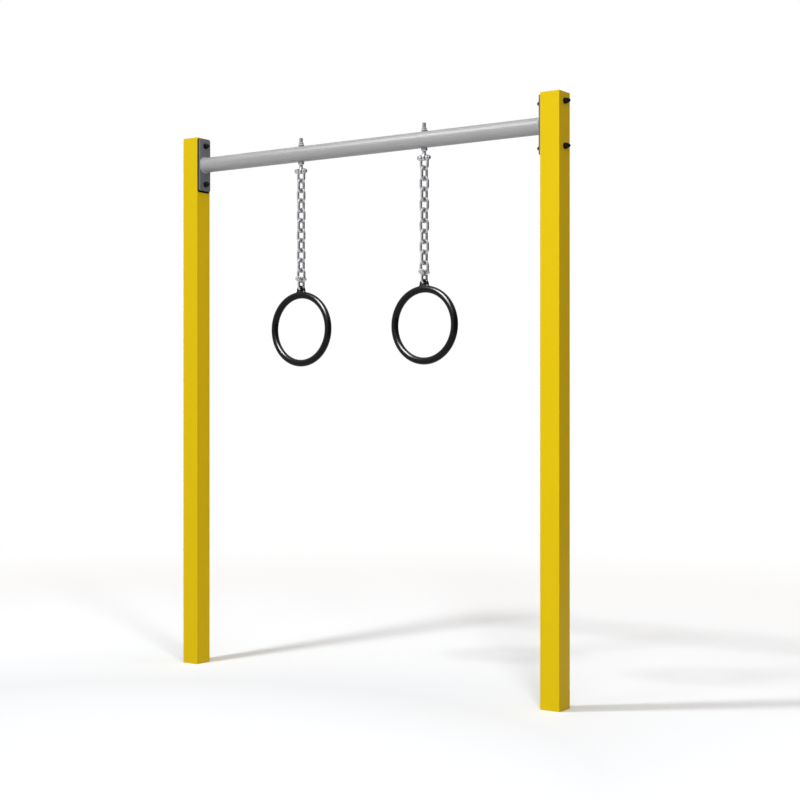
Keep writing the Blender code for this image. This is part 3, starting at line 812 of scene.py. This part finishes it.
def eyeboltMesh(values, top, hidden):
    # Origin in the middle of the eye. hidden: heights between which the nuts and bar cover it.
    eye, half, stud = values["eye"] / 2, values["eyeWidth"] / 2, values["stud"] / 2
    start, bore = values["threadStart"], values["hole"] / 2

    def shape(x, y, z):
        ring = roundedSlab(np.hypot(y, z) - eye, np.abs(x) - half, values["eyeEdge"])
        shank = np.maximum(np.hypot(x, y) - stud, -z)
        return blended(ring, shank, values["neckBlend"])

    below = -eye * np.cos(np.linspace(values["roundStart"], math.pi / 2, values["roundRows"]))
    heights = np.concatenate([below, np.linspace(0, start, values["shankRows"])[1:]])
    across, along, up = np.eye(3)[:, None]
    centres = heights[:, None] * up
    angles = spokeAngles(values["spokes"])
    rows = skinPoints(centres, across, along, angles, shape, reach=0.03)
    step = values["pitch"] / values["pitchSteps"]
    threaded = np.concatenate([
        np.arange(start + step, hidden[0], step), np.arange(*hidden, values["hiddenStep"]),
        np.arange(hidden[1], top, step), [top],
    ])
    rows = np.vstack([rows, threadRows(values, threaded, stud, start, top)])
    cutter = flaredCutter(bore, values["holeFlare"], half, past=0.004, steps=6)
    mesh = cutMesh(gridMesh("eyebolt", rows), (cutter, upright, layDown))
    mesh = finishMesh(mesh, platedSteel, crisp=45)
    wide = values["rubWidth"]
    return setRub(mesh, lambda x, y, z: 1 - np.abs(np.hypot(y, z) - bore) / wide - (z > 0))


def makeEyebolts(values):
    for side in sides:
        node = f"{side}_eyebolt"
        place = pivots[f"{side}_upper_shackle"]
        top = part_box(node)[1].z - place.z
        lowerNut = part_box(f"{side}_eyebolt_lower_nut")[0].z - place.z + values["insideNut"]
        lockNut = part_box(f"{side}_eyebolt_lock_nut")[1].z - place.z - values["insideNut"]
        mesh = eyeboltMesh(values, top, (lowerNut, lockNut))
        addPiece(f"{side}Eyebolt", mesh, place, "plated_steel", node)


makeEyebolts(eyeboltValues)
print("eyebolts made")


# Shackles and their pins

shackleValues = {
    "wire": 0.011, "jaw": 0.019, "drop": 0.045, "ear": 0.021, "earEdge": 0.0022,
    "earBlend": 0.004, "hole": 0.0106,
    "rub": (1.1, 0.008),  # at the bow's lowest point, and the distance that takes 1 off
    "earStart": 0.08,  # angle from the ear's top
    "earRows": 16,
    "blendRows": (-0.0007, -0.015, 20),  # first and last height, and how many
    "legStart": -0.018, "legRows": 5, "bowRows": 37, "spokes": 80,
}


def shackleMesh(values):
    # The bow hangs below the pin, which lies on the X axis.
    wire, ear = values["wire"] / 2, values["ear"] / 2
    leg = values["jaw"] / 2 + wire
    bend = leg - values["drop"]

    def shape(x, y, z):
        sideways = np.abs(x) - leg
        straight = np.maximum(np.hypot(sideways, y) - wire, z)
        curved = np.hypot(np.hypot(x, z - bend) - leg, y) - wire
        bow = np.where(z < bend, curved, straight)
        boss = roundedSlab(np.hypot(y, z) - ear, np.abs(sideways) - wire, values["earEdge"])
        whole = blended(bow, boss, values["earBlend"])
        return np.where(z > bend, np.maximum(whole, np.abs(sideways) - wire), whole)

    heights = np.concatenate([  # down one leg, closest together where the ear meets the wire
        ear * np.cos(np.linspace(values["earStart"], math.pi / 2, values["earRows"])),
        np.linspace(*values["blendRows"]),
        np.linspace(values["legStart"], bend, values["legRows"]),
    ])
    turns = np.linspace(0, math.pi, values["bowRows"])[1:-1]
    x = np.concatenate([heights * 0 - leg, -leg * np.cos(turns), heights * 0 + leg])
    z = np.concatenate([heights, bend - leg * np.sin(turns), heights[::-1]])
    turn = np.concatenate([heights * 0, turns, heights * 0 + math.pi])
    centres = np.stack([x, x * 0, z], -1)
    across = np.stack([np.cos(turn), x * 0, np.sin(turn)], -1)
    along = np.array([(0.0, 1.0, 0.0)])
    angles = spokeAngles(values["spokes"])
    rows = skinPoints(centres, across, along, angles, shape, reach=0.02)
    cutter = holeCutter(values["hole"] / 2, length=0.08)
    mesh = cutMesh(gridMesh("shackle", rows), (cutter, upright, layDown))
    mesh = finishMesh(mesh, platedSteel, crisp=42)
    most, width = values["rub"]
    return setRub(mesh, lambda x, y, z: most - np.hypot(x, z + values["drop"] - wire) / width)


pinValues = {
    "pin": 0.010, "head": 0.016, "headHeight": 0.007, "headCrown": 0.0014,
    "headFace": 0.55,  # its flat part, as a share of its width
    "headRounds": (0.004, 0.0012, 0.0005), "headMiddle": 0.0003,
    "nut": {"acrossFlats": 0.016, "bore": 0.0096, "boreEdge": 0.0006, "spokes": 72},
    "nutEnd": (0.95, 0.58), "nutHeight": 0.0085, "pastNut": 0.003,
    "insideNut": (0.001, 0.0008),  # heights over the nut's end where the thread's rows begin
    "seat": 0.0208, "rubHalf": 0.007, "pitch": 0.0015, "pitchSteps": 8,
    "threadDepth": 0.0008, "tipChamfer": 0.0010, "spokes": 64,
}


def pinMesh(values):
    # Head towards +X, nut towards -X. Built upright and laid down.
    radius, head, seat = values["pin"] / 2, values["head"] / 2, values["seat"]
    top = seat + values["headHeight"]
    nutBottom = -seat - values["nutHeight"]
    tip = nutBottom - values["pastNut"]
    crownRound, sideRound, seatRound = values["headRounds"]
    profile = roundedPath([
        (values["headMiddle"], top, 0), (head * values["headFace"], top, crownRound),
        (head, top - values["headCrown"], sideRound), (head, seat, seatRound),
        (radius, seat, 0), (radius, -seat, 0),
    ])
    step = values["pitch"] / values["pitchSteps"]
    first, second = nutBottom + np.array(values["insideNut"])
    heights = [first, *np.arange(second, tip, -step), tip]
    rows = [turnedPoints(profile, values["spokes"])]
    rows.append(threadRows(values, heights, radius, -seat, tip))
    shaft = gridMesh("pinShaft", np.vstack(rows))
    nut = nutRows(values["nut"], nutBottom, -seat, values["nutEnd"], values["nutEnd"])
    mesh = joinMeshes("shacklePin", shaft, gridMesh("pinNut", nut, loop=True))
    mesh.transform(Matrix.Rotation(math.pi / 2, 4, "Y"))
    mesh = finishMesh(mesh, platedSteel, crisp=35)
    return setRub(mesh, lambda x, y, z: (np.abs(x) < values["rubHalf"]) * 1.0)


def makeShackles(values):
    bow, pin = shackleMesh(values), pinMesh(pinValues)
    for side in sides:
        for level in levels:
            body = f"{side}_{level}_shackle"
            name = f"{side}{level.title()}Shackle"
            turn = (0, 0, 0 if level == "upper" else math.pi / 2)
            place = pivots[body].copy()
            if level == "lower":
                place.z = nodeMiddle(f"{body}_pin").z
            addPiece(name, bow, place, "plated_steel", body, body=body, turn=turn)
            addPiece(f"{name}Pin", pin, place, "plated_steel", f"{body}_pin", body=body, turn=turn)


makeShackles(shackleValues)
print("shackles made")


# Chain links

linkValues = {
    "count": 10, "spokes": 28, "bendSteps": 22, "legSteps": 16,
    "weldSwell": 0.0003, "weldWidth": 0.0018, "crownWear": 0.0001,
    "legShare": 0.99,  # a point this far out lies on the leg
    "wearPowers": (4, 3),  # how fast it fades along the bend and round the wire
    "rub": (1.15, 0.004, 0.009),  # at the crown, and the distances in z and x that take 1 off
}


def linkMesh(values, span):
    # A link in the XZ plane, its origin in its middle. span: across, wire, long.
    wire = span[1] / 2
    bend = span[0] / 2 - wire
    straight = span[2] / 2 - wire - bend
    path = []
    for start, end in ((0, straight), (math.pi, -straight)):
        for turn in np.linspace(start, start + math.pi, values["bendSteps"] + 1):
            path.append((bend * math.cos(turn), end + bend * math.sin(turn), turn))
        for z in np.linspace(end, -end, values["legSteps"] + 1)[1:-1]:
            path.append((math.copysign(bend, -end), z, start + math.pi))
    angles = spokeAngles(values["spokes"])
    alongBend, roundWire = values["wearPowers"]
    rows = []
    for x, z, turn in path:
        onWeldedLeg = x > bend * values["legShare"]
        swell = values["weldSwell"] * math.exp(-((z / values["weldWidth"]) ** 2)) * onWeldedLeg
        crown = max(0, abs(z) - straight) / bend
        wear = values["crownWear"] * crown ** alongBend
        radius = wire + swell - wear * np.maximum(0, -np.cos(angles)) ** roundWire
        outward = radius * np.cos(angles)
        rows.append(np.stack([
            x + outward * math.cos(turn), radius * np.sin(angles), z + outward * math.sin(turn),
        ], -1))
    mesh = finishMesh(gridMesh("chainLink", np.array(rows), loop=True), chainSteel)
    seat = span[2] / 2 - 2 * wire
    most, high, wide = values["rub"]
    return setRub(mesh, lambda x, y, z: most - np.abs(np.abs(z) - seat) / high - np.abs(x) / wide)


def makeChains(values):
    span = nodeSpan("left_link_02")
    mesh = linkMesh(values, (max(span.x, span.y), min(span.x, span.y), span.z))
    for side in sides:
        for number in range(1, values["count"] + 1):
            body = f"{side}_link_{number:02d}"
            facing = nodeSpan(body)
            turn = 0 if facing.x > facing.y else math.pi / 2
            if number % 3 == 0:
                turn += math.pi  # the weld lies on the other leg
            name = f"{side}Link{number:02d}"
            place = nodeMiddle(body)
            addPiece(name, mesh, place, "chain_steel", body, body=body, turn=(0, 0, turn))


makeChains(linkValues)
print("chains made")


# Rings, each with its lug

ringValues = {
    "radius": 0.139, "grip": 0.014, "lugHalfWidth": 0.019, "lugThickness": 0.012,
    "lugEdge": 0.0026, "lugBlend": 0.0075, "hole": 0.0136, "holeFlare": 0.0021,
    "holeRise": -0.0002,  # the hole's middle above the pivot
    "rubWidth": 0.008, "stations": 300, "spokes": 92,
    "stationPull": 0.86,  # how much closer together they are near the lug
    "spokePull": 0.78,
}


def pulledAngles(count, pull):
    # Angles round a circle, closer together near zero.
    angles = np.linspace(-math.pi, math.pi, count, endpoint=False)
    return angles - pull * np.sin(angles)


def ringMesh(values, lugTop, holeHeight):
    # Origin in the ring's centre, in the XZ plane.
    radius, grip, half = values["radius"], values["grip"], values["lugHalfWidth"]
    edge, bore = values["lugThickness"] / 2, values["hole"] / 2
    lugMiddle = lugTop - half

    def shape(x, y, z):
        torus = np.hypot(np.hypot(x, z) - radius, y) - grip
        outline = np.where(z > lugMiddle, np.hypot(x, z - lugMiddle), np.abs(x)) - half
        outline = np.maximum(outline, radius - z)
        lug = roundedSlab(outline, np.abs(y) - edge, values["lugEdge"])
        return blended(torus, lug, values["lugBlend"])

    turns = pulledAngles(values["stations"], values["stationPull"])
    outward = np.stack([np.sin(turns), turns * 0, np.cos(turns)], -1)
    sideways = np.array([(0.0, 1.0, 0.0)])
    angles = pulledAngles(values["spokes"], values["spokePull"])
    rows = skinPoints(outward * radius, outward, sideways, angles, shape, reach=0.05)
    cutter = flaredCutter(bore, values["holeFlare"], edge, past=0.01, steps=7)
    cutter = (cutter, (0, 0, holeHeight), (math.pi / 2, 0, 0))
    mesh = finishMesh(cutMesh(gridMesh("ring", rows, loop=True), cutter), gripPlastic, crisp=40)
    wide = values["rubWidth"]
    return setRub(mesh, lambda x, y, z: 1.0 - np.hypot(x, z - holeHeight - bore) / wide)


def makeRings(values):
    for side in sides:
        body = f"{side}_ring"
        low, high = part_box(body)
        centre = Vector((pivots[body].x, 0, low.z + values["radius"] + values["grip"]))
        hole = pivots[body].z - centre.z + values["holeRise"]
        if side == "left":
            mesh = ringMesh(values, high.z - centre.z, hole)
        addPiece(f"{side}Ring", mesh, centre, "ring_plastic", body, body=body)


makeRings(ringValues)
print("rings made")


# Bolts and nuts inside the posts and caps keep their own meshes

for hiddenKind in ("bolt", "nut"):
    for hiddenSide in sides:
        for hiddenLevel in levels:
            hidden = frame["nodes"][f"{hiddenSide}_{hiddenLevel}_plate_{hiddenKind}"]
            hidden.data.materials.clear()
            hidden.data.materials.append(platedSteel)


# Floor, sky and lamps

def clearedTree(owner):
    owner.use_nodes = True
    owner.node_tree.nodes.clear()
    return owner.node_tree


def seenRay(tree):
    # One for camera, glossy and transmission rays, which see the background as white.
    path = addNode(tree, "LightPath").outputs
    seen = path["Is Camera Ray"]
    for kind in ("Is Glossy Ray", "Is Transmission Ray"):
        seen = maths(tree, "MAXIMUM", seen, path[kind])
    return seen


def mixedShader(tree, share, first, second):
    inputs = {"Fac": share, 1: first.outputs[0], 2: second.outputs[0]}
    return addNode(tree, "MixShader", inputs)


def addPanel(name, halfWidth, halfHeight, material, place, turn=upright):
    # A flat piece of the stage.
    corners = [(across * halfWidth, up * halfHeight, 0) for across, up in
               ((-1, -1), (1, -1), (1, 1), (-1, 1))]
    mesh = bpy.data.meshes.new(name)
    mesh.from_pydata(corners, [], [(0, 1, 2, 3)])
    mesh.materials.append(material)
    panel = addObject(name, mesh, place, turn)
    return panel


# The floor as it is seen makes up for the lamps' falling off with distance.
floorValues = {
    "half": 30.0, "height": -0.0003, "brightest": (0.2, -1.6, 0.0), "near": 1.5,
    "far": 8.0, "shownNear": 0.84, "shownFar": 2.43, "tint": (0.965, 1.0, 1.045),
    "bounced": (0.28, 0.28, 0.28, 1), "fadeStart": 3.2, "fadeEnd": 6.0,
}


def makeFloor(values):
    material = bpy.data.materials.new("paleFloor")
    tree = clearedTree(material)
    place = addNode(tree, "NewGeometry").outputs["Position"]
    reach = maths(tree, "DISTANCE", place, values["brightest"], kind="VectorMath")
    level = addNode(tree, "MapRange", {
        "Value": reach, "From Min": values["near"], "From Max": values["far"],
        "To Min": values["shownNear"], "To Max": values["shownFar"],
    })
    cool = tinted(tree, values["tint"], level.outputs[0])
    shown = addNode(tree, "BsdfDiffuse", {"Color": cool})
    fade = addNode(tree, "MapRange", {
        "Value": maths(tree, "LENGTH", place, kind="VectorMath"),
        "From Min": values["fadeStart"], "From Max": values["fadeEnd"],
    }, interpolation_type="SMOOTHSTEP")
    white = addNode(tree, "Emission")
    faded = mixedShader(tree, fade.outputs[0], shown, white)
    bounced = addNode(tree, "BsdfDiffuse", {"Color": values["bounced"]})
    choice = mixedShader(tree, seenRay(tree), bounced, faded)
    addNode(tree, "OutputMaterial", {"Surface": choice.outputs[0]})
    half = values["half"]
    return addPanel("floor", half, half, material, (0, 0, values["height"]))


# A plain level all round, and more from the right and the front.
skyValues = {
    "level": (0.20, 0.20, 0.20),
    "lobes": [
        {"towards": (1, 0, 0), "strength": 0.57, "tint": (1.0, 0.755, 0.52)},
        {"towards": (0, -1, 0), "strength": 0.20, "tint": (0.98, 1.0, 1.03)},
    ],
}


def makeSky(values):
    world = bpy.data.worlds.new("studio")
    bpy.context.scene.world = world
    tree = clearedTree(world)
    direction = addNode(tree, "TexCoord").outputs["Generated"]
    total = values["level"]
    for lobe in values["lobes"]:
        facing = maths(tree, "DOT_PRODUCT", direction, lobe["towards"], kind="VectorMath")
        ahead = maths(tree, "MAXIMUM", facing, 0.0)
        share = tinted(tree, Vector(lobe["tint"]) * lobe["strength"], ahead)
        total = maths(tree, "ADD", total, share, kind="VectorMath")
    cast = addNode(tree, "Background", {"Color": total})
    white = addNode(tree, "Background", {"Color": (1, 1, 1, 1)})
    choice = mixedShader(tree, seenRay(tree), cast, white)
    addNode(tree, "OutputWorld", {"Surface": choice.outputs[0]})


# matte: the gloss doesn't see the lamp. sheen: only the gloss does. onto: what alone it lights.
lampValues = {
    "keyLamp": {"place": (-1.17, -1.82, 4.2), "target": (0, 0, 0.8), "size": 0.9, "power": 15},
    "fillLamp": {
        "place": (2.0, -2.7, 2.6), "target": (0, 0, 1.2), "size": 1.6, "power": 18, "matte": True,
    },
    "softLamp": {"place": (0.3, -1.7, 4.2), "target": (0, 0, 1.4), "size": 1.2, "power": 10},
    "frontLamp": {
        "place": (0.7, -6.0, 1.2), "target": (0, 0, 0.9), "size": 2.6, "power": 160,
        "tint": (0.98, 1.0, 1.03), "matte": True, "onto": "pieces",
    },
    "topLamp": {"place": (0.0, 0.2, 5.0), "target": (0, 0, 1.0), "size": 2.0, "power": 15},
    "backLamp": {
        "place": (-2.2, 4.2, 2.8), "target": (0, 0, 1.2), "size": 2.0, "power": 130,
        "matte": True, "onto": "pieces",
    },
    "sideLamp": {
        "place": (-4.6, 1.1, 1.5), "target": (-0.9, 0, 1.1), "size": 2.0, "power": 45,
        "matte": True, "onto": "posts",
    },
    "floorLamp": {
        "place": (-1.17, -1.82, 4.2), "target": (0, 0, 0.8), "size": 0.45, "power": 90,
        "matte": True, "onto": "floor",
    },
    "lowFloorLamp": {
        "place": (2.47, -2.19, 2.9), "target": (0, 0, 0.8), "size": 0.6, "power": 45,
        "matte": True, "onto": "floor",
    },
    "barSheenLamp": {
        "place": (-1.17, -1.82, 4.2), "target": (0, 0, 0.8), "size": 1.6, "power": 55,
        "sheen": True, "onto": "bar",
    },
    "ringSheenLamp": {
        "place": (0.42, -2.15, 3.9), "target": (0, 0, 1.4), "size": 2.2, "power": 1100,
        "tint": (0.93, 0.97, 1.0), "sheen": True, "onto": "rings",
    },
}


def makeLamps(lamps, receivers):
    for name, values in lamps.items():
        data = bpy.data.lights.new(name, "AREA")
        data.shape = "DISK"
        data.size = values["size"]
        data.energy = values["power"]
        data.color = values.get("tint", (1, 1, 1))
        aim = Vector(values["target"]) - Vector(values["place"])
        lamp = addObject(name, data, values["place"], aim.to_track_quat("-Z", "Y").to_euler())
        lamp.visible_camera = False
        lamp.visible_glossy = not values.get("matte")
        lamp.visible_diffuse = not values.get("sheen")
        if "onto" in values:
            lit = bpy.data.collections.new(name + "Receivers")
            for receiver in receivers[values["onto"]]:
                lit.objects.link(receiver)
            lamp.light_linking.receiver_collection = lit


# Dark cards that only the gloss sees. They stand on the right and darken that side of the steel.
cardValues = {
    "level": 0.08, "halfWidth": 2.5, "halfHeight": 2.0,
    "cards": {
        "rightCard": {"middle": (4.2, -0.6, 1.6), "facing": (-1, 0.1, 0)},
        "frontCard": {"middle": (4.0, -5.5, 1.6), "facing": (-0.57, 0.82, 0)},
        "backCard": {"middle": (3.5, 3.0, 1.8), "facing": (-0.7, -0.7, 0)},
    },
}


def makeCards(values):
    dark = bpy.data.materials.new("darkCard")
    tree = clearedTree(dark)
    glow = addNode(tree, "Emission", {"Strength": values["level"]})
    addNode(tree, "OutputMaterial", {"Surface": glow.outputs[0]})
    size = values["halfWidth"], values["halfHeight"]
    for name, place in values["cards"].items():
        turn = Vector(place["facing"]).to_track_quat("Z", "Y").to_euler()
        card = addPanel(name, *size, dark, place["middle"], turn)
        card.visible_camera = card.visible_diffuse = False
        card.visible_shadow = card.visible_transmission = False


floor = makeFloor(floorValues)
makeSky(skyValues)
pieces = [piece for piece in bpy.context.scene.objects if piece.type == "MESH" and piece != floor]
receivers = {"floor": [floor], "pieces": pieces}
for group, material in (("rings", gripPlastic), ("bar", greyCoat), ("posts", yellowCoat)):
    receivers[group] = [piece for piece in pieces if material in piece.data.materials[:1]]
makeLamps(lampValues, receivers)
makeCards(cardValues)
bpy.context.scene.view_settings.view_transform = "Standard"
print("floor, sky and lamps made")

bpy.context.view_layer.update()
